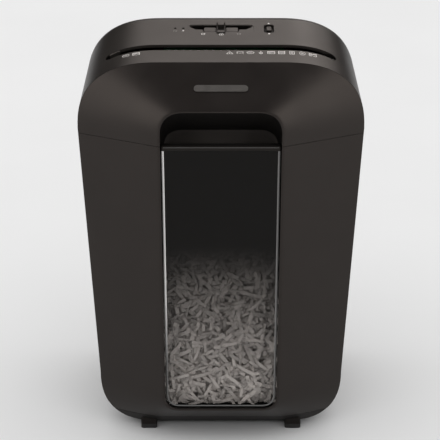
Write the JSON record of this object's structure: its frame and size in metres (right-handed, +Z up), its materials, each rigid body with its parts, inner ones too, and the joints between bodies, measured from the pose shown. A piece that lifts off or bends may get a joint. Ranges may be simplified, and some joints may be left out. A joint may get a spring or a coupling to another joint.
{
  "type": "paper shredder",
  "caption": "Deskside cross-cut paper shredder with a sloped top, a front-fed throat, a windowed pull-out bin under an arched hand pocket, and small feet.",
  "frame": {"origin": "on the floor, at the middle of the object's width and depth", "axes": "+Z up; +X to the right for a person facing the front; the bin pulls out along -Y"},
  "size_m": [0.28, 0.224, 0.412],
  "materials": {
    "casing": "fine moulded texture, satin",
    "deck_cover": "fine moulded texture, satin",
    "base_black": "coarse moulded texture",
    "bin_inner": "moulded, lightly polished",
    "recess_black": "fine texture",
    "grip": "polished",
    "bezel": "polished",
    "knob": "satin",
    "button": "satin",
    "light_pipe": "clear, diffusing",
    "badge_plate": "satin, blank",
    "window": "smoked clear plastic, polished",
    "foot_rubber": "matte",
    "chassis": "glass-filled, matte",
    "slide_plastic": "natural acetal",
    "gear_plastic": "natural acetal",
    "screw_steel": "zinc plated",
    "plate_steel": "zinc-plated sheet",
    "cutter_steel": "hardened, lightly oiled",
    "pin_steel": "ground",
    "spring_steel": "bright wire",
    "bushing_bronze": "sintered bronze",
    "motor_steel": "zinc plated",
    "brush_brass": "plain",
    "rotor": "laminated core with copper windings",
    "board": "green laminate",
    "capacitor_film": "film capacitor",
    "transformer_core": "laminations and taped windings",
    "switch_body": "plain",
    "reed": "plain",
    "magnet": "ferrite",
    "shreds": "loose cross-cut paper pieces"
  },
  "bodies": {
    "cabinet": {"base_tray": "base_black", "cabinet_shell": "casing", "rear_panel": "casing", "rear_panel_screws": "screw_steel", "foot_front_left": "foot_rubber", "foot_front_right": "foot_rubber", "foot_rear_left": "foot_rubber", "foot_rear_right": "foot_rubber", "foot_screws": "screw_steel", "bin_rail_left": "base_black", "bin_rail_right": "base_black", "head_chassis": "chassis", "chassis_screws": "screw_steel", "hand_recess": "recess_black", "front_fascia": "casing", "top_cover": "deck_cover", "throat_guide": "recess_black", "badge": "badge_plate", "control_bezel": "bezel", "led_overheat": "light_pipe", "led_bin_open": "light_pipe", "control_board": "board", "slide_switch": "switch_body", "end_plate_left": "plate_steel", "end_plate_right": "plate_steel", "tie_rods": "pin_steel", "comb_front": "chassis", "comb_rear": "chassis", "bushing_front_left": "bushing_bronze", "bushing_front_right": "bushing_bronze", "bushing_rear_left": "bushing_bronze", "bushing_rear_right": "bushing_bronze", "gear_one_pin": "pin_steel", "gear_two_pin": "pin_steel", "motor_can": "motor_steel", "motor_bracket": "plate_steel", "motor_brushes": "brush_brass", "power_board": "board", "capacitor": "capacitor_film", "transformer": "transformer_core", "reed_switch": "reed", "paper_sensors": "switch_body", "cord_gland": "foot_rubber", "lock_spring": "spring_steel"},
    "bin": {"bin_front": "casing", "bin_tub": "bin_inner", "window_pane": "window", "grip_rail": "grip", "bin_runner_left": "slide_plastic", "bin_runner_right": "slide_plastic", "bin_magnet": "magnet", "shredded_paper": "shreds"},
    "slider": {"slider_knob": "knob"},
    "button": {"lock_button": "button"},
    "cutter_f": {"front_cutter": "cutter_steel"},
    "cutter_r": {"rear_cutter": "cutter_steel", "last_gear": "gear_plastic"},
    "intermediate_gear": {"gear_two": "gear_plastic"},
    "first_gear": {"gear_one": "gear_plastic"},
    "rotor": {"armature": "rotor"}
  },
  "joints": [
    {"name": "bin_slide", "type": "slide", "parent": "cabinet", "child": "bin", "axis": [0, -1, 0], "range_m": [0, 0.15]},
    {"name": "control_slide", "type": "slide", "parent": "cabinet", "child": "slider", "axis": [1, 0, 0], "range_m": [-0.013, 0.013]},
    {"name": "lock_press", "type": "slide", "parent": "cabinet", "child": "button", "axis": [0, 0.1744, -0.9847], "range_m": [0, 0.002], "stiffness_N_per_m": 300, "springref_m": -0.002, "deforming": ["lock_spring"]},
    {"name": "rear_cutter_spin", "type": "hinge", "parent": "cabinet", "child": "cutter_r", "pos_m": [0, -0.027, 0.35], "axis": [1, 0, 0], "continuous": true},
    {"name": "front_cutter_spin", "type": "hinge", "parent": "cabinet", "child": "cutter_f", "pos_m": [0, -0.055, 0.35], "axis": [1, 0, 0], "continuous": true},
    {"name": "intermediate_spin", "type": "hinge", "parent": "cabinet", "child": "intermediate_gear", "pos_m": [0, 0.003, 0.35], "axis": [1, 0, 0], "continuous": true},
    {"name": "first_gear_spin", "type": "hinge", "parent": "cabinet", "child": "first_gear", "pos_m": [0, 0.031, 0.35], "axis": [1, 0, 0], "continuous": true},
    {"name": "rotor_spin", "type": "hinge", "parent": "cabinet", "child": "rotor", "pos_m": [0, 0.051, 0.35], "axis": [1, 0, 0], "continuous": true}
  ],
  "couplings": [
    {"joint": "front_cutter_spin", "follows": "rear_cutter_spin", "ratio": -1},
    {"joint": "intermediate_spin", "follows": "rear_cutter_spin", "ratio": -2.3333},
    {"joint": "first_gear_spin", "follows": "rear_cutter_spin", "ratio": 8.5556},
    {"joint": "rotor_spin", "follows": "rear_cutter_spin", "ratio": -34.222}
  ]
}
